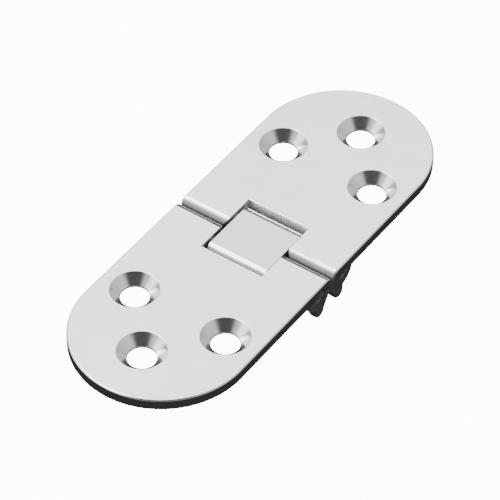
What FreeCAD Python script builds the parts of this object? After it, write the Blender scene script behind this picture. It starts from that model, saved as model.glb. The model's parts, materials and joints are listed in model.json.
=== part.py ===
import FreeCAD, Part
import math
import os

import Sketcher

# Flush flap hinge with two pins: a pair of round-ended leaves joined by a centre link.
# Millimetres. +X runs along the hinge from the fold line towards the fixed leaf, +Z is up
# and the leaves' shared top face is horizontal. The origin is below the middle of the fold
# line, level with the tips of the stop fingers, the lowest points of the open hinge.

os.makedirs("parts", exist_ok=True)
doc = FreeCAD.newDocument("flap_hinge")

# ---------------------------------------------------------------- driving dimensions
SIZES = {
    "overall_height": 7.4,        # leaf top face to the tips of the stop fingers
    "leaf_length": 40.0,          # fold line to the round end, half of the open hinge
    "leaf_width": 30.0,
    "plate_thickness": 2.0,
    "outline_round": 0.3,         # softened top edge of the plate
    "fold_gap": 0.15,             # leaf edge to the fold plane
    "fold_round": 1.4,            # rounded top edge beside the fold
    "window_reach": 6.55,         # fold plane to the end wall of the window
    "window_width": 11.8,
    "window_corner": 1.0,         # plan radius where the window opens into the fold
    "pin_offset": 3.3,            # fold plane to the pin's axis
    "pin_depth": 2.1,             # leaf top face to the pin's axis
    "pin_radius": 1.25,
    "pin_length": 29.0,
    "pin_end_chamfer": 0.25,
    "knuckle_radius": 2.95,
    "knuckle_width": 29.2,        # over the outer faces of both knuckles
    "knuckle_fillet": 1.0,        # knuckle to the underside of the plate
    "finger_thickness": 1.6,
    "finger_gap": 0.04,           # stop pad to the fold plane
    "finger_pad_top": 2.3,        # leaf top face to the upper end of the stop pad
    "finger_pad_foot": 4.0,       # leaf top face to the lower end of the stop pad
    "finger_tip_offset": 2.7,     # fold plane to the centre of the rounded tip
    "finger_tip_radius": 1.15,
    "finger_root_offset": 4.2,    # fold plane to the outer flank, at the knuckle
    "finger_root_depth": 4.8,
    "link_width": 11.2,
    "link_drop": 0.5,             # link's top face below the leaves'
    "link_corner": 1.4,           # rounded top edge at each end
    "link_radius": 2.5,           # round each pin, underneath and at the ends
    "link_bore_radius": 1.3,
    "screw_pair_offset": 20.5,    # fold plane to the pair of holes
    "screw_pair_spacing": 17.6,
    "screw_end_offset": 30.4,     # fold plane to the single hole
    "screw_hole_diameter": 4.7,
    "screw_head_diameter": 8.0,
    "screw_head_angle": 90.0,
}

sheet = doc.addObject("Spreadsheet::Sheet", "Sizes")
for row, (word, value) in enumerate(SIZES.items(), start=1):
    sheet.set(f"A{row}", word)
    sheet.set(f"B{row}", str(value))
    sheet.setAlias(f"B{row}", word)
doc.recompute()

HOLD_X = "DistanceX"
HOLD_Y = "DistanceY"
ORIGIN = (-1, 1)
START, END, CENTRE = 1, 2, 3
BORE_REACH = 20.0                 # longer than any cut across the hinge
TOUCHING = 1e-3                   # two places nearer than this are the same


def size(word):
    """The number that the sheet holds under this alias."""
    return sheet.get(word)


def bind(thing, prop, formula):
    """Tie one property to the sheet; {word} in the formula stands for a cell."""
    thing.setExpression(prop, formula.format_map(Cells()))


class Cells(dict):
    """Turns {word} in a formula into a reference to the sheet's cell of that name."""

    def __missing__(self, word):
        return f"Sizes.{word}"


# ---------------------------------------------------------------- sketching helpers
class Outline:
    """A sketch on one of its body's own planes, with sizes held by the sheet."""

    def __init__(self, body, name, role, lift=None):
        plane = next(f for f in body.Origin.OriginFeatures if f.Role == role)
        self.sketch = body.newObject("Sketcher::SketchObject", name)
        self.sketch.AttachmentSupport = [(plane, "")]
        self.sketch.MapMode = "FlatFace"
        if lift:
            bind(self.sketch, "AttachmentOffset.Base.z", lift)

    def line(self, start, end):
        edge = Part.LineSegment(FreeCAD.Vector(*start, 0), FreeCAD.Vector(*end, 0))
        return self.sketch.addGeometry(edge, False)

    def arc(self, centre, radius, start_deg, end_deg):
        circle = Part.Circle(FreeCAD.Vector(*centre, 0), FreeCAD.Vector(0, 0, 1), radius)
        turn = Part.ArcOfCircle(circle, math.radians(start_deg), math.radians(end_deg))
        return self.sketch.addGeometry(turn, False)

    def circle(self, centre, radius):
        ring = Part.Circle(FreeCAD.Vector(*centre, 0), FreeCAD.Vector(0, 0, 1), radius)
        return self.sketch.addGeometry(ring, False)

    def chain(self, joins):
        """Joins ends in pairs: (edge, end, edge, end), smoothly where a fifth item is True."""
        for first, first_end, second, second_end, *smooth in joins:
            kind = "Tangent" if smooth else "Coincident"
            self.sketch.addConstraint(
                Sketcher.Constraint(kind, first, first_end, second, second_end))

    def level(self, *edges):
        for edge in edges:
            self.sketch.addConstraint(Sketcher.Constraint("Horizontal", edge))

    def upright(self, *edges):
        for edge in edges:
            self.sketch.addConstraint(Sketcher.Constraint("Vertical", edge))

    def align(self, kind, edge, *ends):
        """Sets two points of one edge level with, or above, each other."""
        first, second = ends
        self.sketch.addConstraint(Sketcher.Constraint(kind, edge, first, edge, second))

    def on_middle(self, edge):
        """Keeps an arc's or circle's centre on the sketch's own X axis."""
        self.sketch.addConstraint(Sketcher.Constraint("PointOnObject", edge, CENTRE, -1))

    def measure(self, rule, formula):
        """Adds a constraint with a size, and ties the size to the sheet."""
        index = self.sketch.addConstraint(rule)
        bind(self.sketch, f"Constraints[{index}]", formula)

    def hold(self, kind, edge, end, value, formula):
        """Holds a point at a distance from the origin, on its positive side."""
        self.measure(Sketcher.Constraint(kind, *ORIGIN, edge, end, value), formula)

    def hold_back(self, edge, end, value, formula, kind=HOLD_X):
        """Holds a point at a distance from the origin, on its negative side."""
        self.measure(Sketcher.Constraint(kind, edge, end, *ORIGIN, value), formula)

    def radius(self, edge, formula):
        value = self.sketch.Geometry[edge].Radius
        self.measure(Sketcher.Constraint("Radius", edge, value), formula)


def pad(body, outline, length, centred=False):
    """Grows a sketch into a solid, about its plane where centred."""
    feature = body.newObject("PartDesign::Pad", outline.sketch.Name + "_pad")
    feature.Profile = outline.sketch
    bind(feature, "Length", length)
    feature.Midplane = centred
    return feature


def pocket(body, outline):
    """Cuts a sketch right through the body, both ways from its plane."""
    before = body.Shape.Volume
    feature = body.newObject("PartDesign::Pocket", outline.sketch.Name + "_cut")
    feature.Profile = outline.sketch
    feature.Length = 2 * BORE_REACH
    feature.Midplane = True
    doc.recompute()
    if not body.Shape.Volume < before:
        raise RuntimeError(feature.Name + " removed nothing")
    return feature


# ---------------------------------------------------------------- leaf
def leaf_plate(body):
    """The flat plate: straight at the fold, a half circle at the far end."""
    half = size("leaf_width") / 2
    gap = size("fold_gap")
    middle = size("leaf_length") - half
    plan = Outline(body, body.Label + "_plan", "XY_Plane",
                   "{overall_height} - {plate_thickness}")
    near = plan.line((gap, -half), (middle, -half))
    end = plan.arc((middle, 0), half, -90, 90)
    far = plan.line((middle, half), (gap, half))
    fold = plan.line((gap, half), (gap, -half))
    plan.chain([(near, END, end, START, True), (end, END, far, START, True),
                (far, END, fold, START), (fold, END, near, START)])
    plan.level(near, far)
    plan.upright(fold)
    plan.hold(HOLD_X, near, START, gap, "{fold_gap}")
    plan.hold(HOLD_X, end, CENTRE, middle, "{leaf_length} - {leaf_width} / 2")
    plan.on_middle(end)
    plan.radius(end, "{leaf_width} / 2")
    pad(body, plan, "{plate_thickness}")


def leaf_soft_edge(body):
    """Rounds the plate's top edge along its sides and round its end."""
    doc.recompute()
    top = size("overall_height")
    gap = size("fold_gap")
    rim = []
    for number, edge in enumerate(body.Shape.Edges, start=1):
        box = edge.BoundBox
        on_top = box.ZMin > top - TOUCHING and box.ZMax < top + TOUCHING
        at_fold = box.XMax < gap + TOUCHING
        if on_top and not at_fold:
            rim.append(f"Edge{number}")
    plate = body.Tip
    soft = body.newObject("PartDesign::Fillet", body.Label + "_soft_edge")
    soft.Base = (plate, rim)
    bind(soft, "Radius", "{outline_round}")
    doc.recompute()


def leaf_knuckle(body):
    """The round block under the plate that holds the pin, flared into the plate."""
    offset = size("pin_offset")
    level = size("overall_height") - size("pin_depth")
    barrel = size("knuckle_radius")
    flare = size("knuckle_fillet")
    under = size("overall_height") - size("plate_thickness")
    inside = under + size("plate_thickness") / 2
    drop = level - (under - flare)
    reach = math.sqrt((barrel + flare) ** 2 - drop ** 2)
    tilt = math.degrees(math.asin(drop / (barrel + flare)))
    side = Outline(body, body.Label + "_knuckle", "XZ_Plane")
    flank = side.line((offset - barrel, inside), (offset - barrel, level))
    round_edge = side.arc((offset, level), barrel, 180, 360 - tilt)
    fillet = side.arc((offset + reach, under - flare), flare, 90, 180 - tilt)
    rise = side.line((offset + reach, under), (offset + reach, inside))
    roof = side.line((offset + reach, inside), (offset - barrel, inside))
    side.chain([(flank, END, round_edge, START, True), (round_edge, END, fillet, END, True),
                (fillet, START, rise, START), (rise, END, roof, START),
                (roof, END, flank, START)])
    side.upright(flank, rise)
    side.level(roof)
    side.radius(round_edge, "{knuckle_radius}")
    side.radius(fillet, "{knuckle_fillet}")
    side.hold(HOLD_X, round_edge, CENTRE, offset, "{pin_offset}")
    side.hold(HOLD_Y, round_edge, CENTRE, level, "{overall_height} - {pin_depth}")
    side.hold(HOLD_Y, roof, START, inside, "{overall_height} - {plate_thickness} / 2")
    side.hold(HOLD_Y, fillet, CENTRE, under - flare,
              "{overall_height} - {plate_thickness} - {knuckle_fillet}")
    side.sketch.addConstraint(
        Sketcher.Constraint("Vertical", fillet, CENTRE, rise, START))
    pad(body, side, "{knuckle_width}", centred=True)


def leaf_fingers(body):
    """A stop finger at each outer face; its pad meets the other leaf's when open flat."""
    top = size("overall_height")
    gap = size("finger_gap")
    tip = (size("finger_tip_offset"), size("finger_tip_radius"))
    root = (size("finger_root_offset"), top - size("finger_root_depth"))
    pad_top = top - size("finger_pad_top")
    foot = top - size("finger_pad_foot")
    side = Outline(body, body.Label + "_finger", "XZ_Plane",
                   "{knuckle_width} / 2 - {finger_thickness}")
    face = side.line((gap, pad_top), (gap, foot))
    slant = side.line((gap, foot), (tip[0] - 0.7 * tip[1], 0.3 * tip[1]))
    nose = side.arc(tip, tip[1], 215, 345)
    flank = side.line((tip[0] + tip[1], 0.8 * tip[1]), root)
    rise = side.line(root, (root[0], pad_top))
    roof = side.line((root[0], pad_top), (gap, pad_top))
    side.chain([(face, END, slant, START), (slant, END, nose, START, True),
                (nose, END, flank, START, True), (flank, END, rise, START),
                (rise, END, roof, START), (roof, END, face, START)])
    side.upright(face, rise)
    side.level(roof)
    side.hold(HOLD_X, face, START, gap, "{finger_gap}")
    side.hold(HOLD_Y, face, START, pad_top, "{overall_height} - {finger_pad_top}")
    side.hold(HOLD_Y, face, END, foot, "{overall_height} - {finger_pad_foot}")
    side.radius(nose, "{finger_tip_radius}")
    side.hold(HOLD_X, nose, CENTRE, tip[0], "{finger_tip_offset}")
    side.hold(HOLD_Y, nose, CENTRE, tip[1], "{finger_tip_radius}")
    side.hold(HOLD_X, flank, END, root[0], "{finger_root_offset}")
    side.hold(HOLD_Y, flank, END, root[1], "{overall_height} - {finger_root_depth}")
    finger = pad(body, side, "{finger_thickness}")
    doc.recompute()
    middle = next(f for f in body.Origin.OriginFeatures if f.Role == "XZ_Plane")
    pair = body.newObject("PartDesign::Mirrored", body.Label + "_finger_pair")
    pair.Originals = [finger]
    pair.MirrorPlane = (middle, [""])
    body.Tip = pair
    doc.recompute()


def leaf_window(body):
    """Half of the window for the link, with its mouth rounded into the fold."""
    half = size("window_width") / 2
    reach = size("window_reach")
    gap = size("fold_gap")
    corner = size("window_corner")
    plan = Outline(body, body.Label + "_window", "XY_Plane")
    mouth = plan.line((-gap, half + corner), (-gap, -half - corner))
    low_lip = plan.line((-gap, -half - corner), (gap, -half - corner))
    low_turn = plan.arc((gap + corner, -half - corner), corner, 90, 180)
    low_side = plan.line((gap + corner, -half), (reach, -half))
    wall = plan.line((reach, -half), (reach, half))
    high_side = plan.line((reach, half), (gap + corner, half))
    high_turn = plan.arc((gap + corner, half + corner), corner, 180, 270)
    high_lip = plan.line((gap, half + corner), (-gap, half + corner))
    plan.chain([(mouth, END, low_lip, START), (low_lip, END, low_turn, END),
                (low_turn, START, low_side, START, True), (low_side, END, wall, START),
                (wall, END, high_side, START), (high_side, END, high_turn, END, True),
                (high_turn, START, high_lip, START), (high_lip, END, mouth, START)])
    plan.upright(mouth)
    plan.level(low_lip, low_side, high_side, high_lip)
    plan.align("Horizontal", low_turn, CENTRE, END)
    plan.align("Horizontal", high_turn, CENTRE, START)
    plan.hold(HOLD_X, wall, START, reach, "{window_reach}")
    plan.hold(HOLD_Y, wall, END, half, "{window_width} / 2")
    plan.sketch.addConstraint(
        Sketcher.Constraint("Symmetric", wall, START, wall, END, -1))
    for turn in (low_turn, high_turn):
        plan.radius(turn, "{window_corner}")
        plan.hold(HOLD_X, turn, CENTRE, gap + corner, "{fold_gap} + {window_corner}")
    plan.hold_back(mouth, START, gap, "{fold_gap}")
    pocket(body, plan)


def leaf_fold_edge(body):
    """Takes the sharp top edge off beside the fold, so that the leaves clear each other."""
    top = size("overall_height")
    gap = size("fold_gap")
    bend = size("fold_round")
    side = Outline(body, body.Label + "_fold", "XZ_Plane")
    turn = side.arc((gap + bend, top - bend), bend, 90, 180)
    lip = side.line((gap, top - bend), (-bend, top - bend))
    back = side.line((-bend, top - bend), (-bend, top + bend))
    roof = side.line((-bend, top + bend), (gap + bend, top + bend))
    rise = side.line((gap + bend, top + bend), (gap + bend, top))
    side.chain([(turn, END, lip, START), (lip, END, back, START), (back, END, roof, START),
                (roof, END, rise, START), (rise, END, turn, START)])
    side.level(lip, roof)
    side.upright(back, rise)
    side.radius(turn, "{fold_round}")
    side.hold(HOLD_X, turn, CENTRE, gap + bend, "{fold_gap} + {fold_round}")
    side.hold(HOLD_Y, turn, CENTRE, top - bend, "{overall_height} - {fold_round}")
    side.align("Horizontal", turn, CENTRE, END)
    side.align("Vertical", turn, CENTRE, START)
    side.hold(HOLD_Y, roof, START, top + bend, "{overall_height} + {fold_round}")
    side.hold_back(back, START, bend, "{fold_round}")
    pocket(body, side)


def leaf_pin_bore(body):
    """The bore that the pin is pressed into."""
    level = size("overall_height") - size("pin_depth")
    side = Outline(body, body.Label + "_bore", "XZ_Plane")
    ring = side.circle((size("pin_offset"), level), size("pin_radius"))
    side.radius(ring, "{pin_radius}")
    side.hold(HOLD_X, ring, CENTRE, size("pin_offset"), "{pin_offset}")
    side.hold(HOLD_Y, ring, CENTRE, level, "{overall_height} - {pin_depth}")
    pocket(body, side)


def leaf_screw_holes(body):
    """Three countersunk holes: a pair across the leaf and one towards its round end."""
    half = size("screw_pair_spacing") / 2
    pair = size("screw_pair_offset")
    last = size("screw_end_offset")
    plan = Outline(body, body.Label + "_screws", "XY_Plane", "{overall_height}")
    bore = size("screw_hole_diameter") / 2
    near, far, end = [plan.circle(centre, bore)
                      for centre in ((pair, -half), (pair, half), (last, 0))]
    for ring in (near, far, end):
        plan.radius(ring, "{screw_hole_diameter} / 2")
    for ring in (near, far):
        plan.hold(HOLD_X, ring, CENTRE, pair, "{screw_pair_offset}")
    plan.hold(HOLD_X, end, CENTRE, last, "{screw_end_offset}")
    plan.hold(HOLD_Y, far, CENTRE, half, "{screw_pair_spacing} / 2")
    plan.hold_back(near, CENTRE, half, "{screw_pair_spacing} / 2", kind=HOLD_Y)
    plan.on_middle(end)
    doc.recompute()
    before = body.Shape.Volume
    hole = body.newObject("PartDesign::Hole", body.Label + "_countersinks")
    hole.Profile = plan.sketch
    hole.DepthType = "ThroughAll"
    hole.HoleCutType = "Countersink"
    hole.HoleCutCustomValues = True
    bind(hole, "Diameter", "{screw_hole_diameter}")
    bind(hole, "HoleCutDiameter", "{screw_head_diameter}")
    bind(hole, "HoleCutCountersinkAngle", "{screw_head_angle}")
    doc.recompute()
    if not body.Shape.Volume < before:
        raise RuntimeError("the countersunk holes removed nothing")


def make_leaf(label, turn_deg):
    """One leaf, made on the +X side and turned about Z to its own side."""
    body = doc.addObject("PartDesign::Body", label)
    body.Label = label
    leaf_plate(body)
    leaf_soft_edge(body)
    leaf_knuckle(body)
    doc.recompute()
    leaf_fingers(body)
    leaf_window(body)
    leaf_fold_edge(body)
    leaf_pin_bore(body)
    leaf_screw_holes(body)
    body.Placement = FreeCAD.Placement(
        FreeCAD.Vector(), FreeCAD.Rotation(FreeCAD.Vector(0, 0, 1), turn_deg))
    return body


# ---------------------------------------------------------------- centre link
def make_link(label):
    """The block between the pins: flat on top, round underneath."""
    body = doc.addObject("PartDesign::Body", label)
    body.Label = label
    top = size("overall_height") - size("link_drop")
    level = size("overall_height") - size("pin_depth")
    corner = size("link_corner")
    under = size("link_radius")
    offset = size("pin_offset")
    end = offset + under
    side = Outline(body, label + "_side", "XZ_Plane")
    roof = side.line((end - corner, top), (corner - end, top))
    left_corner = side.arc((corner - end, top - corner), corner, 90, 180)
    left_end = side.line((-end, top - corner), (-end, level))
    left_round = side.arc((-offset, level), under, 180, 270)
    floor = side.line((-offset, level - under), (offset, level - under))
    right_round = side.arc((offset, level), under, 270, 360)
    right_end = side.line((end, level), (end, top - corner))
    right_corner = side.arc((end - corner, top - corner), corner, 0, 90)
    side.chain([(roof, END, left_corner, START, True),
                (left_corner, END, left_end, START, True),
                (left_end, END, left_round, START, True),
                (left_round, END, floor, START, True),
                (floor, END, right_round, START, True),
                (right_round, END, right_end, START, True),
                (right_end, END, right_corner, START, True),
                (right_corner, END, roof, START, True)])
    for turn in (left_corner, right_corner):
        side.radius(turn, "{link_corner}")
    for turn in (left_round, right_round):
        side.radius(turn, "{link_radius}")
    side.hold(HOLD_Y, right_round, CENTRE, level, "{overall_height} - {pin_depth}")
    side.level(roof, floor)
    side.upright(left_end, right_end)
    side.hold(HOLD_X, right_round, CENTRE, offset, "{pin_offset}")
    side.hold_back(left_round, CENTRE, offset, "{pin_offset}")
    side.hold(HOLD_Y, roof, START, top, "{overall_height} - {link_drop}")
    pad(body, side, "{link_width}", centred=True)
    doc.recompute()
    bores = Outline(body, label + "_bores", "XZ_Plane")
    for place in (offset, -offset):
        ring = bores.circle((place, level), size("link_bore_radius"))
        bores.radius(ring, "{link_bore_radius}")
        bores.hold(HOLD_Y, ring, CENTRE, level, "{overall_height} - {pin_depth}")
        if place > 0:
            bores.hold(HOLD_X, ring, CENTRE, offset, "{pin_offset}")
        else:
            bores.hold_back(ring, CENTRE, offset, "{pin_offset}")
    pocket(body, bores)
    return body


# ---------------------------------------------------------------- pins
def make_pin(label, side):
    """A plain steel pin with chamfered ends, along Y through one leaf and the link."""
    rod = doc.addObject("Part::Cylinder", label + "_rod")
    bind(rod, "Radius", "{pin_radius}")
    bind(rod, "Height", "{pin_length}")
    doc.recompute()
    pin = doc.addObject("Part::Chamfer", label)
    pin.Label = label
    pin.Base = rod
    chamfer = size("pin_end_chamfer")
    rims = [number for number, edge in enumerate(rod.Shape.Edges, start=1)
            if len(edge.Vertexes) == 1]
    pin.Edges = [(number, chamfer, chamfer) for number in rims]
    bind(pin, "Placement.Base.x", f"{side} * {{pin_offset}}")
    bind(pin, "Placement.Base.y", "{pin_length} / 2")
    bind(pin, "Placement.Base.z", "{overall_height} - {pin_depth}")
    pin.Placement.Rotation = FreeCAD.Rotation(FreeCAD.Vector(1, 0, 0), 90)
    return pin


# ---------------------------------------------------------------- build and write
nodes = [
    make_leaf("fixed_leaf", 0),
    make_leaf("flap_leaf", 180),
    make_link("centre_link"),
    make_pin("fixed_leaf_pin", 1),
    make_pin("flap_leaf_pin", -1),
]
doc.recompute()

for thing in doc.Objects:
    if "Invalid" in thing.State or "Error" in thing.State:
        raise RuntimeError(f"{thing.Name} failed to compute: {thing.State}")
for node in nodes:
    if node.Shape.isNull() or not node.Shape.isValid():
        raise RuntimeError(node.Label + " has no valid shape")

for node in nodes:
    node.Shape.exportStep(f"parts/{node.Label}.step")
    print(node.Label, round(node.Shape.Volume, 1), node.Shape.BoundBox)
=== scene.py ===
import json
import math

import bmesh
import bpy
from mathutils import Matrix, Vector


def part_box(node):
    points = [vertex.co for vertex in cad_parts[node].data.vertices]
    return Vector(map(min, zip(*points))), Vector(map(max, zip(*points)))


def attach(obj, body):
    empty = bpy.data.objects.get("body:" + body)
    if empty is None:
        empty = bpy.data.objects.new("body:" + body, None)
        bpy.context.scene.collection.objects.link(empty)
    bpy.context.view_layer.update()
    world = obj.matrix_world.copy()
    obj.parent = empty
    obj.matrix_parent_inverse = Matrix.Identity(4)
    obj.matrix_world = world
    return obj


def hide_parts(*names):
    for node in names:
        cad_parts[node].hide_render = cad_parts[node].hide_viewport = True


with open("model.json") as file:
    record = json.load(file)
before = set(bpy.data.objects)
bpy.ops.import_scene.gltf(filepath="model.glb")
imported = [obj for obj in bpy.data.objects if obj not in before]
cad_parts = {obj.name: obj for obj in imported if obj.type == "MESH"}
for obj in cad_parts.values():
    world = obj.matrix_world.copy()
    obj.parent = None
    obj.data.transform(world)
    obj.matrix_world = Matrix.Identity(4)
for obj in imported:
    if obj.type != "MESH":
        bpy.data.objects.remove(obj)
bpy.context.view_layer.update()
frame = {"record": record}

scene = bpy.context.scene

# The pieces are modelled in millimetres, at their own places, and brought to metres when done.
MM = 0.001
record = frame["record"]
mounts = {mount["name"]: mount for mount in record["mounts"]}


def millimetres(vector):
    return Vector(vector) / MM


# ---------------------------------------------------------------- sizes, from the frame
LEAF_LOW, LEAF_HIGH = [millimetres(corner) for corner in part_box("fixed_leaf")]
LINK_LOW, LINK_HIGH = [millimetres(corner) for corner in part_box("centre_link")]
PIN_LOW, PIN_HIGH = [millimetres(corner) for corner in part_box("fixed_leaf_pin")]
LEAF_END = LEAF_HIGH.x
HALF_WIDTH = LEAF_HIGH.y
TOP = LEAF_HIGH.z
UNDER = millimetres(mounts["fixed_leaf_face"]["pos_m"]).z
PLATE = TOP - UNDER
PIN = (PIN_LOW + PIN_HIGH) / 2
PIN_RADIUS = (PIN_HIGH.x - PIN_LOW.x) / 2
LINK_PLAY = 0.05                  # clearance all round each pin in the link
LINK_BORE = PIN_RADIUS + LINK_PLAY
SCREW_PAIR = millimetres(mounts["fixed_leaf_screw_pair"]["pos_m"]).x
SCREW_SIDE = mounts["fixed_leaf_screw_pair"]["dims"]["spacing_y_mm"] / 2
SCREW_END = millimetres(mounts["fixed_leaf_end_screw"]["pos_m"]).x
SCREW_HOLE = mounts["fixed_leaf_end_screw"]["dims"]["r_mm"]

# ---------------------------------------------------------------- sizes of the mouldings
FOLD_GAP = 0.15                   # leaf edge to the fold plane
FOLD_ROUND = 1.4
SOFT_EDGE = 0.3                   # polished-over top edge of the plate
BROKEN_EDGE = 0.09                # every other corner of the casting
KNUCKLE_RADIUS = 2.95
KNUCKLE_SIDE = 14.6               # middle of the leaf to the knuckle's outer face
FINGER_THICKNESS = 1.6
FINGER_TIP = Vector((2.7, 0, 1.15))
FINGER_TIP_RADIUS = 1.15
FINGER_EDGE = 0.4
FINGER_PAD_X = LEAF_LOW.x
FINGER_ROOT_X = 4.2
FINGER_PAD_FOOT = TOP - 4.0
FINGER_PAD_TOP = TOP - 2.3
LINK_END_GAP = 0.75
LINK_SIDE_GAP = 0.3
WINDOW_END = LINK_HIGH.x + LINK_END_GAP
WINDOW_SIDE = LINK_HIGH.y + LINK_SIDE_GAP
WINDOW_CORNER = 1.0
WINDOW_DRAFT = 0.12               # lean of the window's end wall, so the die draws out upwards
COUNTERSINK_RADIUS = 4.0
WINDOW_REACH = 7.0                # height and depth of the window's cut from the top face
LINK_ROUND_TOP = 1.4
BORE_REACH = 20.0                 # longer than any cut across the hinge
PIN_CROWN = 0.05                  # how far each cut end stands out in the middle
PIN_FLAT = 0.22                   # ring next to the edge, still flat
PIN_SLOPE = 0.5                   # ring that rises to the crown
PIN_EDGE = 0.2
EJECTOR_RADIUS = 1.6
EJECTOR_DEPTH = 0.06
EJECTOR_PLACES = [(11.5, -9.0), (11.5, 9.0), (34.5, -7.0), (34.5, 7.0)]
SHOW_FLOOR = UNDER + BROKEN_EDGE / 2   # below this height a leaf isn't buffed

# ---------------------------------------------------------------- how finely rounds are drawn
PLATE_SIDES = 192
HOLE_SIDES = 96
KNUCKLE_SIDES = 64
BORE_SIDES = 48
SMALL_SIDES = 40
FOLD_STEPS = 14
LINK_TOP_STEPS = 10
RIM_STEPS = 3
CORNER_STEPS = 2
SHARP = math.radians(35)          # a corner turning more than this is broken
SMOOTH = math.radians(33)         # a joint between faces turning less than this is shaded smooth


# ---------------------------------------------------------------- modelling helpers
def only(piece):
    """Makes one piece the only selected and the active one."""
    bpy.ops.object.select_all(action="DESELECT")
    piece.select_set(True)
    bpy.context.view_layer.objects.active = piece


def settle(name):
    """Names the new primitive and moves its place into its mesh."""
    piece = bpy.context.object
    piece.name = name
    only(piece)
    bpy.ops.object.transform_apply(location=True, rotation=True, scale=True)
    return piece


def block(name, low, high):
    """A box between two corners."""
    low, high = Vector(low), Vector(high)
    bpy.ops.mesh.primitive_cube_add(size=1.0, location=(low + high) / 2, scale=high - low)
    return settle(name)


def rod(name, middle, radius, length, sides):
    """A cylinder along Y."""
    bpy.ops.mesh.primitive_cylinder_add(
        vertices=sides, radius=radius, depth=length, location=middle,
        rotation=(math.pi / 2, 0, 0))
    return settle(name)


def start_edit(piece):
    only(piece)
    bpy.ops.object.mode_set(mode="EDIT")


def end_edit():
    bpy.ops.object.mode_set(mode="OBJECT")


def pick(kind, test):
    """In edit mode, selects the corners, edges or faces that pass a test."""
    bpy.ops.mesh.select_mode(type=kind)
    bpy.ops.mesh.select_all(action="DESELECT")
    mesh = bpy.context.object.data
    shape = bmesh.from_edit_mesh(mesh)
    shape.normal_update()
    for item in {"VERT": shape.verts, "EDGE": shape.edges, "FACE": shape.faces}[kind]:
        if test(item):
            item.select_set(True)
    bmesh.update_edit_mesh(mesh)


def near(value, wanted, slack=0.01):
    return abs(value - wanted) < slack


def along(edge, axis):
    """True for an edge that runs along X, Y or Z."""
    run = (edge.verts[1].co - edge.verts[0].co).normalized()
    return abs(run[axis]) > 0.999


def centre(edge):
    return (edge.verts[0].co + edge.verts[1].co) / 2


def extrude(x, y, z):
    bpy.ops.mesh.extrude_region_move(TRANSFORM_OT_translate={"value": (x, y, z)})


def round_edges(radius, steps):
    """Rounds the selected edges."""
    bpy.ops.mesh.bevel(offset=radius, segments=steps, affect="EDGES", clamp_overlap=False)


def cut_in_half(point, normal):
    """Takes away what lies behind a plane, and closes the cut."""
    bpy.ops.mesh.select_all(action="SELECT")
    bpy.ops.mesh.bisect(plane_co=point, plane_no=normal, use_fill=True, clear_inner=True)


def merge_flats():
    """Joins doubled corners and the faces that lie in one plane."""
    bpy.ops.mesh.select_all(action="SELECT")
    bpy.ops.mesh.remove_doubles(threshold=0.004)
    bpy.ops.mesh.select_all(action="SELECT")
    bpy.ops.mesh.dissolve_limited(angle_limit=math.radians(0.5))
    bpy.ops.mesh.select_all(action="SELECT")
    bpy.ops.mesh.normals_make_consistent(inside=False)


# A point so far off the hinge's own lines that hardly any two corners are equally far from it.
SORTING_POINT = (137.31, -251.77, 93.13)


def put_in_order(piece):
    """Sorts the mesh by distance from one point, as a boolean leaves it in no fixed order."""
    scene.cursor.location = SORTING_POINT
    start_edit(piece)
    for kind in ("VERT", "EDGE", "FACE"):
        bpy.ops.mesh.select_mode(type=kind)
        bpy.ops.mesh.select_all(action="SELECT")
        bpy.ops.mesh.sort_elements(type="CURSOR_DISTANCE", elements={kind})
    end_edit()


def combine(piece, tool, how):
    """Adds a tool shape to a piece, or cuts it away; the tool is used up."""
    change = piece.modifiers.new("combine", "BOOLEAN")
    change.operation = how
    change.solver = "EXACT"
    change.object = tool
    only(piece)
    bpy.ops.object.modifier_apply(modifier=change.name)
    bpy.data.objects.remove(tool)
    put_in_order(piece)


def turned_copy(piece, name):
    """A copy with a mesh of its own, turned half round to the other side of the fold."""
    twin = piece.copy()
    twin.data = piece.data.copy()
    twin.name = name
    scene.collection.objects.link(twin)
    only(twin)
    twin.rotation_euler = (0, 0, math.pi)
    bpy.ops.object.transform_apply(location=False, rotation=True, scale=False)
    return twin


def finish_surface(piece):
    """Smooths the rounds, keeps the flats flat, and brings the piece to metres."""
    only(piece)
    bpy.ops.object.shade_smooth_by_angle(angle=SMOOTH)
    weigh = piece.modifiers.new("flat_faces", "WEIGHTED_NORMAL")
    weigh.keep_sharp = True
    bpy.ops.object.modifier_apply(modifier=weigh.name)
    piece.scale = (MM, MM, MM)
    bpy.ops.object.transform_apply(location=False, rotation=False, scale=True)


# ---------------------------------------------------------------- leaf
def leaf_plate():
    """Round-ended plate: a disc cut in half and drawn out to the fold."""
    bpy.ops.mesh.primitive_cylinder_add(
        vertices=PLATE_SIDES, radius=HALF_WIDTH, depth=PLATE,
        location=(LEAF_END - HALF_WIDTH, 0, TOP - PLATE / 2))
    plate = settle("leaf_casting")
    middle = LEAF_END - HALF_WIDTH
    start_edit(plate)
    cut_in_half((middle, 0, 0), (1, 0, 0))
    pick("FACE", lambda face: face.normal.x < -0.9)
    extrude(FOLD_GAP - middle, 0, 0)
    merge_flats()
    pick("EDGE", lambda edge: along(edge, 1) and near(centre(edge).x, FOLD_GAP)
         and near(centre(edge).z, TOP))
    round_edges(FOLD_ROUND, FOLD_STEPS)
    merge_flats()

    def on_rim(edge):
        place = centre(edge)
        outward, upward = [], []
        for face in edge.link_faces:
            outward.append(abs(face.normal.z) < 0.01 and not near(place.x, FOLD_GAP, 0.001)
                           and face.normal.x > -0.01)
            upward.append(face.normal.z > 0.01)
        return any(outward) and any(upward)

    pick("EDGE", on_rim)
    round_edges(SOFT_EDGE, RIM_STEPS)
    end_edit()
    return plate


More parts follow.
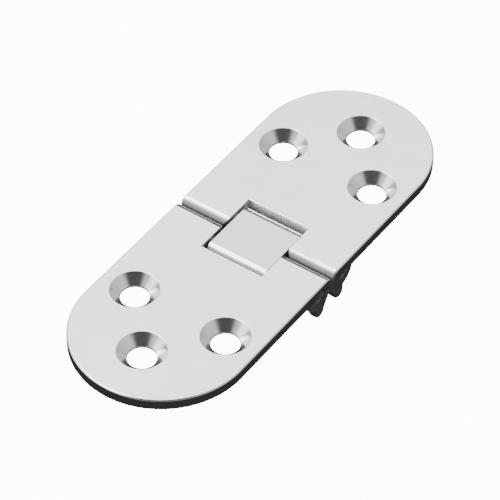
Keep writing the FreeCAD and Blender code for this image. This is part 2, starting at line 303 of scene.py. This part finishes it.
def leaf_knuckle():
    """Half a rod, drawn up into the plate."""
    knuckle = rod("knuckle", PIN, KNUCKLE_RADIUS, 2 * KNUCKLE_SIDE, KNUCKLE_SIDES)
    start_edit(knuckle)
    cut_in_half((0, 0, PIN.z), (0, 0, -1))
    pick("FACE", lambda face: face.normal.z > 0.9)
    extrude(0, 0, TOP - PLATE / 2 - PIN.z)
    end_edit()
    return knuckle


def leaf_finger(side):
    """A stop finger: half a rod for the tip, drawn up in two steps and spread at the root."""
    middle = FINGER_TIP + Vector((0, side * (KNUCKLE_SIDE - FINGER_THICKNESS / 2), 0))
    finger = rod("finger", middle, FINGER_TIP_RADIUS, FINGER_THICKNESS, SMALL_SIDES)
    start_edit(finger)
    cut_in_half((0, 0, FINGER_TIP.z), (0, 0, -1))
    pick("FACE", lambda face: face.normal.z > 0.9)
    extrude(0, 0, FINGER_PAD_FOOT - FINGER_TIP.z)
    fold_side = FINGER_TIP.x - FINGER_TIP_RADIUS
    pick("EDGE", lambda edge: along(edge, 1) and near(centre(edge).z, FINGER_PAD_FOOT)
         and near(centre(edge).x, fold_side))
    bpy.ops.transform.translate(value=(FINGER_PAD_X - fold_side, 0, 0))
    leaf_side = FINGER_TIP.x + FINGER_TIP_RADIUS
    pick("EDGE", lambda edge: along(edge, 1) and near(centre(edge).z, FINGER_PAD_FOOT)
         and near(centre(edge).x, leaf_side))
    bpy.ops.transform.translate(value=(FINGER_ROOT_X - leaf_side, 0, 0))
    pick("FACE", lambda face: face.normal.z > 0.9)
    extrude(0, 0, FINGER_PAD_TOP - FINGER_PAD_FOOT)
    pick("EDGE", lambda edge: not along(edge, 1) and centre(edge).z < FINGER_PAD_FOOT
         and near(abs(centre(edge).y), KNUCKLE_SIDE, FINGER_EDGE + FINGER_THICKNESS))
    round_edges(FINGER_EDGE, 4)
    end_edit()
    return finger


def window_cutter():
    """The window's shape: a leaning end wall, and a flare where it opens into the fold."""
    low, high = TOP - WINDOW_REACH, TOP + WINDOW_REACH
    cutter = block("window", (FOLD_GAP, -WINDOW_SIDE, low), (WINDOW_END, WINDOW_SIDE, high))
    start_edit(cutter)
    for level, way in ((low, -1), (high, 1)):
        pick("EDGE", lambda edge: along(edge, 1) and near(centre(edge).x, WINDOW_END, 0.9)
             and near(centre(edge).z, level))
        bpy.ops.transform.translate(value=(way * WINDOW_DRAFT * WINDOW_REACH, 0, 0))
    pick("FACE", lambda face: face.normal.x < -0.9)
    extrude(-2 * FOLD_GAP, 0, 0)
    for side in (-1, 1):
        pick("FACE", lambda face: face.normal.y * side > 0.9
             and face.calc_center_median().x < FOLD_GAP)
        extrude(0, side * 2 * WINDOW_CORNER, 0)
    pick("EDGE", lambda edge: along(edge, 2) and near(centre(edge).x, FOLD_GAP)
         and near(abs(centre(edge).y), WINDOW_SIDE))
    round_edges(WINDOW_CORNER, 8)
    end_edit()
    return cutter


def screw_cutter(x, y):
    """A countersunk hole: a cone drawn out both ways."""
    depth = COUNTERSINK_RADIUS - SCREW_HOLE
    bpy.ops.mesh.primitive_cone_add(
        vertices=HOLE_SIDES, radius1=SCREW_HOLE, radius2=COUNTERSINK_RADIUS, depth=depth,
        location=(x, y, TOP - depth / 2))
    cutter = settle("screw_hole")
    start_edit(cutter)
    pick("FACE", lambda face: face.normal.z > 0.9)
    extrude(0, 0, PLATE)
    pick("FACE", lambda face: face.normal.z < -0.9)
    extrude(0, 0, -PLATE)
    end_edit()
    return cutter


def leaf_casting():
    """One leaf's casting, on the fixed leaf's side."""
    leaf = leaf_plate()
    combine(leaf, leaf_knuckle(), "UNION")
    for side in (-1, 1):
        combine(leaf, leaf_finger(side), "UNION")
    combine(leaf, window_cutter(), "DIFFERENCE")
    combine(leaf, rod("pin_bore", PIN, PIN_RADIUS, 2 * BORE_REACH, BORE_SIDES), "DIFFERENCE")
    for x, y in ((SCREW_PAIR, -SCREW_SIDE), (SCREW_PAIR, SCREW_SIDE), (SCREW_END, 0)):
        combine(leaf, screw_cutter(x, y), "DIFFERENCE")
    start_edit(leaf)
    merge_flats()

    def is_sharp(edge):
        place = centre(edge)
        on_ledge = place.x < 0.6 and UNDER - 0.1 < place.z < UNDER + 0.1
        return (edge.is_manifold and not on_ledge
                and edge.calc_face_angle() > SHARP)

    pick("EDGE", is_sharp)
    round_edges(BROKEN_EDGE, CORNER_STEPS)
    merge_flats()
    end_edit()
    for x, y in EJECTOR_PLACES:
        bpy.ops.mesh.primitive_cylinder_add(
            vertices=SMALL_SIDES, radius=EJECTOR_RADIUS, depth=2 * EJECTOR_DEPTH,
            location=(x, y, UNDER))
        combine(leaf, settle("ejector_mark"), "DIFFERENCE")
    return leaf


# ---------------------------------------------------------------- link
def link_casting():
    """The block between the pins: round underneath, softly rounded on top, bored twice."""
    link = block("link_casting", LINK_LOW, LINK_HIGH)
    start_edit(link)
    pick("EDGE", lambda edge: along(edge, 1) and near(centre(edge).z, LINK_HIGH.z))
    round_edges(LINK_ROUND_TOP, LINK_TOP_STEPS)
    pick("EDGE", lambda edge: along(edge, 1) and near(centre(edge).z, LINK_LOW.z))
    round_edges(PIN.z - LINK_LOW.z, FOLD_STEPS)
    end_edit()
    for side in (-1, 1):
        place = (side * PIN.x, 0, PIN.z)
        combine(link, rod("link_bore", place, LINK_BORE, 2 * BORE_REACH, BORE_SIDES), "DIFFERENCE")
    start_edit(link)
    merge_flats()
    pick("EDGE", lambda edge: edge.is_manifold
         and edge.calc_face_angle() > SHARP)
    round_edges(BROKEN_EDGE, CORNER_STEPS)
    merge_flats()
    end_edit()
    return link


# ---------------------------------------------------------------- pins
def pin_wire():
    """A length of drawn wire with rounded ends, slightly crowned by the cutting."""
    length = PIN_HIGH.y - PIN_LOW.y - 2 * PIN_CROWN
    pin = rod("pin_wire", PIN, PIN_RADIUS, length, BORE_SIDES)
    start_edit(pin)
    for side in (-1, 1):
        pick("FACE", lambda face: face.normal.y * side > 0.9)
        bpy.ops.mesh.inset(thickness=PIN_FLAT, depth=0)
        bpy.ops.mesh.inset(thickness=PIN_SLOPE, depth=PIN_CROWN)
    pick("EDGE", lambda edge: edge.calc_face_angle() > math.radians(80))
    round_edges(PIN_EDGE, RIM_STEPS)
    end_edit()
    return pin


# ---------------------------------------------------------------- finishes
class Finish:
    """A metal finish built from noise in the piece's own coordinates, in millimetres."""

    def __init__(self, name, low, high, patch_mm):
        self.material = bpy.data.materials.new(name)
        self.material.use_nodes = True
        self.nodes = self.material.node_tree.nodes
        self.links = self.material.node_tree.links
        self.shader = self.nodes["Principled BSDF"]
        self.shader.inputs["Metallic"].default_value = 1.0
        self.place = self.nodes.new("ShaderNodeTexCoord").outputs["Object"]
        self.height = None
        tint = self.nodes.new("ShaderNodeValToRGB")
        tint.color_ramp.elements[0].position = 0.35
        tint.color_ramp.elements[0].color = (*low, 1)
        tint.color_ramp.elements[1].position = 0.65
        tint.color_ramp.elements[1].color = (*high, 1)
        self.links.new(self.noise((patch_mm,) * 3, 3), tint.inputs["Fac"])
        self.links.new(tint.outputs["Color"], self.shader.inputs["Base Color"])
        self.colour = tint.outputs["Color"]

    def noise(self, grain_mm, detail):
        """Noise whose grain is this long along X, Y and Z."""
        stretch = self.nodes.new("ShaderNodeMapping")
        stretch.inputs["Scale"].default_value = [1 / (grain * MM) for grain in grain_mm]
        self.links.new(self.place, stretch.inputs["Vector"])
        noise = self.nodes.new("ShaderNodeTexNoise")
        noise.inputs["Scale"].default_value = 1.0
        noise.inputs["Detail"].default_value = detail
        self.links.new(stretch.outputs["Vector"], noise.inputs["Vector"])
        return noise.outputs["Fac"]

    def spread(self, source, low, high):
        """Brings noise, which stays near a half, to a range of its own."""
        spread = self.nodes.new("ShaderNodeMapRange")
        spread.inputs["From Min"].default_value = 0.3
        spread.inputs["From Max"].default_value = 0.7
        spread.inputs["To Min"].default_value = low
        spread.inputs["To Max"].default_value = high
        self.links.new(source, spread.inputs["Value"])
        return spread.outputs["Result"]

    def add(self, first, second):
        total = self.nodes.new("ShaderNodeMath")
        total.operation = "ADD"
        self.links.new(first, total.inputs[0])
        self.links.new(second, total.inputs[1])
        return total.outputs[0]

    def roughness(self, cloud_mm, low, high, lines_mm, extra):
        """Cloudy roughness with fine lines over it."""
        cloud = self.spread(self.noise(cloud_mm, 4), low, high)
        lines = self.spread(self.noise(lines_mm, 2), 0.0, extra)
        self.sheen = self.add(cloud, lines)
        self.links.new(self.sheen, self.shader.inputs["Roughness"])

    def relief(self, grain_mm, detail, height_mm):
        """Adds one layer of bumps."""
        layer = self.spread(self.noise(grain_mm, detail), 0.0, height_mm * MM)
        self.height = layer if self.height is None else self.add(self.height, layer)

    def shade_and_roughen_fold(self, start_mm, full_mm, colour, rough):
        """Darkens the colour towards the fold as painted shade in the V-groove, and roughens the
        plating there.
        """
        split = self.nodes.new("ShaderNodeSeparateXYZ")
        self.links.new(self.place, split.inputs[0])
        distance = self.nodes.new("ShaderNodeMath")
        distance.operation = "ABSOLUTE"
        self.links.new(split.outputs["X"], distance.inputs[0])
        depth = self.nodes.new("ShaderNodeMapRange")
        depth.interpolation_type = "SMOOTHSTEP"
        depth.inputs["From Min"].default_value = start_mm * MM
        depth.inputs["From Max"].default_value = full_mm * MM
        self.links.new(distance.outputs[0], depth.inputs["Value"])
        # Painted shade: near the fold the base colour blends to the given grey, standing in for the
        # shade in the V-groove; the roughness rises there too.
        mix = self.nodes.new("ShaderNodeMix")
        mix.data_type = "RGBA"
        factor, bright, painted_shade_input = mix.inputs[0], mix.inputs[6], mix.inputs[7]
        painted_shade_input.default_value = (*colour, 1)
        self.links.new(depth.outputs["Result"], factor)
        self.links.new(self.colour, bright)
        self.links.new(mix.outputs[2], self.shader.inputs["Base Color"])
        haze = self.nodes.new("ShaderNodeMix")
        haze.data_type = "FLOAT"
        haze.inputs["B"].default_value = rough
        self.links.new(depth.outputs["Result"], haze.inputs["Factor"])
        self.links.new(self.sheen, haze.inputs["A"])
        self.links.new(haze.outputs["Result"], self.shader.inputs["Roughness"])

    def close(self):
        bump = self.nodes.new("ShaderNodeBump")
        bump.inputs["Strength"].default_value = 1.0
        bump.inputs["Distance"].default_value = 1.0
        self.links.new(self.height, bump.inputs["Height"])
        self.links.new(bump.outputs["Normal"], self.shader.inputs["Normal"])
        return self.material


CHROME_BLUE = 1.01                # how much bluer than grey chrome is


def polished_chrome(name, low, high, painted_fold_shade):
    """Buffed along the leaf: a mirror with a slight haze and hair-fine lines."""
    dark, light = (low, low, low * CHROME_BLUE), (high, high, high * CHROME_BLUE)
    finish = Finish(name, dark, light, patch_mm=14.0)
    finish.roughness(cloud_mm=(3.0, 3.0, 3.0), low=0.13, high=0.19,
                     lines_mm=(6.0, 0.05, 0.05), extra=0.03)
    finish.relief(grain_mm=(2.5, 2.5, 2.5), detail=1, height_mm=0.0006)
    finish.relief(grain_mm=(9.0, 0.06, 0.06), detail=2, height_mm=0.00004)
    # Painted shade: the colour darkens to a mid grey towards the fold line, and the plating
    # roughens there.
    if painted_fold_shade:
        finish.shade_and_roughen_fold(start_mm=1.35, full_mm=0.5, colour=(0.42, 0.42, 0.42), rough=0.5)
    return finish.close()


def cast_chrome():
    """Plated straight over the die casting: satin, with the die's fine grain."""
    finish = Finish("cast_chrome", (0.50, 0.50, 0.51), (0.66, 0.66, 0.67), patch_mm=2.2)
    finish.roughness(cloud_mm=(0.5, 0.5, 0.5), low=0.30, high=0.46,
                     lines_mm=(0.12, 0.12, 0.12), extra=0.06)
    finish.relief(grain_mm=(0.35, 0.35, 0.35), detail=3, height_mm=0.006)
    finish.relief(grain_mm=(1.8, 1.8, 1.8), detail=2, height_mm=0.008)
    return finish.close()


def window_lightened_chrome():
    """The walls of the window: dull plating, partly diffuse so it scatters a little of the floor's
    light, with a base colour lighter than the cast finish as painted light on these recessed walls.
    """
    # Painted light: the base colour is lighter than the cast finish so that the recessed walls read
    # brighter.
    finish = Finish("window_lightened_chrome", (0.60, 0.60, 0.61), (0.74, 0.74, 0.75), patch_mm=1.6)
    finish.shader.inputs["Metallic"].default_value = 0.86
    finish.roughness(cloud_mm=(0.5, 0.5, 0.5), low=0.34, high=0.48,
                     lines_mm=(0.12, 0.12, 0.12), extra=0.06)
    finish.relief(grain_mm=(0.4, 0.4, 0.4), detail=3, height_mm=0.004)
    return finish.close()


def drawn_steel():
    """Wire drawn through a die: long fine scores along the pin."""
    finish = Finish("drawn_steel", (0.42, 0.42, 0.43), (0.56, 0.56, 0.57), patch_mm=3.0)
    finish.roughness(cloud_mm=(0.4, 4.0, 0.4), low=0.24, high=0.36,
                     lines_mm=(0.05, 3.0, 0.05), extra=0.08)
    finish.relief(grain_mm=(0.05, 5.0, 0.05), detail=2, height_mm=0.0015)
    return finish.close()


def sheared_steel():
    """The pin's cut ends, torn in one direction."""
    finish = Finish("sheared_steel", (0.34, 0.34, 0.35), (0.52, 0.52, 0.53), patch_mm=0.6)
    finish.roughness(cloud_mm=(0.3, 0.3, 1.2), low=0.32, high=0.50,
                     lines_mm=(0.06, 0.3, 0.9), extra=0.08)
    finish.relief(grain_mm=(0.08, 0.4, 1.4), detail=3, height_mm=0.008)
    return finish.close()


def coat(piece, materials, choose):
    """Gives a piece its materials, face by face."""
    piece.data.materials.clear()
    for material in materials:
        piece.data.materials.append(material)
    for face in piece.data.polygons:
        face.material_index = choose(face)


def leaf_finish(face):
    """0 on the show face and the rim, 1 on everything below them, 2 on the window's walls."""
    place = face.center / MM
    in_window = place.x < WINDOW_END + BROKEN_EDGE and abs(place.y) < WINDOW_SIDE + BROKEN_EDGE
    if in_window and place.z > UNDER and abs(face.normal.z) < 0.5:
        return 2
    return 1 if place.z < SHOW_FLOOR or face.normal.z < -0.5 else 0


def link_finish(face):
    """0 on the upper half, 1 underneath and on the two sides."""
    upper = face.center.z > PIN.z * MM
    return 0 if upper and abs(face.normal.y) < 0.5 else 1


def pin_finish(face):
    """0 along the wire, 1 on its cut ends."""
    return 1 if abs(face.normal.y) > 0.7 else 0


# ---------------------------------------------------------------- camera
CAMERA_AZIMUTH = math.radians(-54.7)
CAMERA_ELEVATION = math.radians(44.9)
CAMERA_TARGET = Vector((-2.89, -0.99, TOP)) * MM
CAMERA_DISTANCE = 482.4
CAMERA_LENS = 217.8


def add_camera():
    """Three quarters from the flap leaf's end, looking down at forty five degrees."""
    azimuth, elevation, target = CAMERA_AZIMUTH, CAMERA_ELEVATION, CAMERA_TARGET
    back = Vector((math.sin(azimuth) * math.cos(elevation),
                   -math.cos(azimuth) * math.cos(elevation),
                   math.sin(elevation)))
    data = bpy.data.cameras.new("studio_camera")
    data.lens = CAMERA_LENS
    data.sensor_width = 36.0
    data.clip_start = 0.01
    data.clip_end = 20.0
    camera = bpy.data.objects.new("studio_camera", data)
    camera.location = target + back * CAMERA_DISTANCE * MM
    camera.rotation_euler = (-back).to_track_quat("-Z", "Y").to_euler()
    scene.collection.objects.link(camera)
    scene.camera = camera


# ---------------------------------------------------------------- studio
# Light of the tent's wall by height, from straight down (0) through level (0.5) to straight up (1).
TENT_LEVELS = [
    (0.0, 0.03),
    (0.2, 0.035),
    (0.35, 0.12),
    (0.5, 0.36),
    (0.62, 0.72),
    (0.80, 0.9),
    (1.0, 0.7),
]

# Each panel: the way to it, its clear and its soft radius in degrees, and its light.
TENT_PANELS = [
    ((0.46, 0.33, 0.82), 13, 24, 2.7),       # high, beyond the fixed leaf
    ((-0.47, 0.78, 0.41), 10, 24, 2.4),      # behind the flap leaf
    ((-0.58, -0.41, 0.71), 22, 46, 0.08),    # the dark opening the camera looks through
    ((0.90, 0.41, 0.16), 18, 34, 0.08),      # dark, low, beyond the fixed leaf
]


def add_world():
    """A light tent: walls dark below and bright above, two bright panels and two dark ones."""
    world = bpy.data.worlds.new("light_tent")
    scene.world = world
    world.use_nodes = True
    nodes, links = world.node_tree.nodes, world.node_tree.links
    nodes.clear()
    out = nodes.new("ShaderNodeOutputWorld")
    back = nodes.new("ShaderNodeBackground")
    back.inputs["Color"].default_value = (1, 1, 1, 1)
    links.new(back.outputs[0], out.inputs[0])
    where = nodes.new("ShaderNodeTexCoord").outputs["Generated"]
    split = nodes.new("ShaderNodeSeparateXYZ")
    links.new(where, split.inputs[0])
    lift = nodes.new("ShaderNodeMapRange")
    lift.inputs["From Min"].default_value = -1.0
    links.new(split.outputs["Z"], lift.inputs["Value"])
    ramp = nodes.new("ShaderNodeValToRGB")
    links.new(lift.outputs["Result"], ramp.inputs["Fac"])
    while len(ramp.color_ramp.elements) < len(TENT_LEVELS):
        ramp.color_ramp.elements.new(0.5)
    for element, (place, level) in zip(ramp.color_ramp.elements, TENT_LEVELS):
        element.position = place
        element.color = (level, level, level, 1)
    level = ramp.outputs["Color"]
    for direction, inner, outer, strength in TENT_PANELS:
        facing = nodes.new("ShaderNodeVectorMath")
        facing.operation = "DOT_PRODUCT"
        facing.inputs[1].default_value = Vector(direction).normalized()
        links.new(where, facing.inputs[0])
        inside = nodes.new("ShaderNodeMapRange")
        inside.interpolation_type = "SMOOTHSTEP"
        inside.inputs["From Min"].default_value = math.cos(math.radians(outer))
        inside.inputs["From Max"].default_value = math.cos(math.radians(inner))
        links.new(facing.outputs["Value"], inside.inputs["Value"])
        mix = nodes.new("ShaderNodeMix")
        mix.data_type = "FLOAT"
        mix.inputs["B"].default_value = strength
        links.new(inside.outputs["Result"], mix.inputs["Factor"])
        links.new(level, mix.inputs["A"])
        level = mix.outputs["Result"]
    links.new(level, back.inputs["Strength"])


SOFTBOX_PLACE = Vector((-0.15, 0.75, 1.5))
SOFTBOX_LENGTH = 1.6
SOFTBOX_WIDTH = 0.6
SOFTBOX_LIGHT = 7.0


def add_softbox():
    """The overhead soft box."""
    bpy.ops.object.light_add(type="AREA", location=SOFTBOX_PLACE)
    box = bpy.context.object
    box.name = "soft_box"
    box.rotation_euler = SOFTBOX_PLACE.to_track_quat("Z", "Y").to_euler()
    box.data.shape = "RECTANGLE"
    box.data.size = SOFTBOX_LENGTH
    box.data.size_y = SOFTBOX_WIDTH
    box.data.energy = SOFTBOX_LIGHT * math.pi * SOFTBOX_LENGTH * SOFTBOX_WIDTH


FLOOR_SIZE = 6.0
FLOOR_LIGHT = 12.0


def add_floor():
    """A pale table, lit from below like a light box."""
    bpy.ops.mesh.primitive_plane_add(size=FLOOR_SIZE, location=(0, 0, 0))
    floor = bpy.context.object
    floor.name = "floor"
    material = bpy.data.materials.new("pale_table")
    material.use_nodes = True
    shader = material.node_tree.nodes["Principled BSDF"]
    shader.inputs["Base Color"].default_value = (0.9, 0.9, 0.9, 1)
    shader.inputs["Roughness"].default_value = 0.9
    shader.inputs["Emission Color"].default_value = (1, 1, 1, 1)
    shader.inputs["Emission Strength"].default_value = FLOOR_LIGHT
    floor.data.materials.append(material)
    floor.visible_glossy = False


# ---------------------------------------------------------------- build
# The leaf finish carries painted shade in the fold; the link's finish does not.
bright = polished_chrome("leaf_chrome", 0.86, 0.90, painted_fold_shade=True)
bright_link = polished_chrome("link_chrome", 0.69, 0.74, painted_fold_shade=False)
satin = cast_chrome()
walls = window_lightened_chrome()
wire = drawn_steel()
torn = sheared_steel()

fixed_leaf = leaf_casting()
finish_surface(fixed_leaf)
fixed_leaf.name = "fixed_leaf_casting"
coat(fixed_leaf, (bright, satin, walls), leaf_finish)
flap_leaf = turned_copy(fixed_leaf, "flap_leaf_casting")

centre_link = link_casting()
finish_surface(centre_link)
coat(centre_link, (bright_link, satin), link_finish)

fixed_pin = pin_wire()
finish_surface(fixed_pin)
fixed_pin.name = "fixed_pin_wire"
coat(fixed_pin, (wire, torn), pin_finish)
flap_pin = turned_copy(fixed_pin, "flap_pin_wire")

for piece, body, node, slot in (
        (fixed_leaf, "fixed_leaf", "fixed_leaf", "leaf_chrome"),
        (flap_leaf, "flap_leaf", "flap_leaf", "leaf_chrome"),
        (centre_link, "link", "centre_link", "link_chrome"),
        (fixed_pin, "fixed_leaf", "fixed_leaf_pin", "pin_steel"),
        (flap_pin, "flap_leaf", "flap_leaf_pin", "pin_steel")):
    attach(piece, body)
    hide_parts(node)

add_camera()
add_world()
add_softbox()
add_floor()
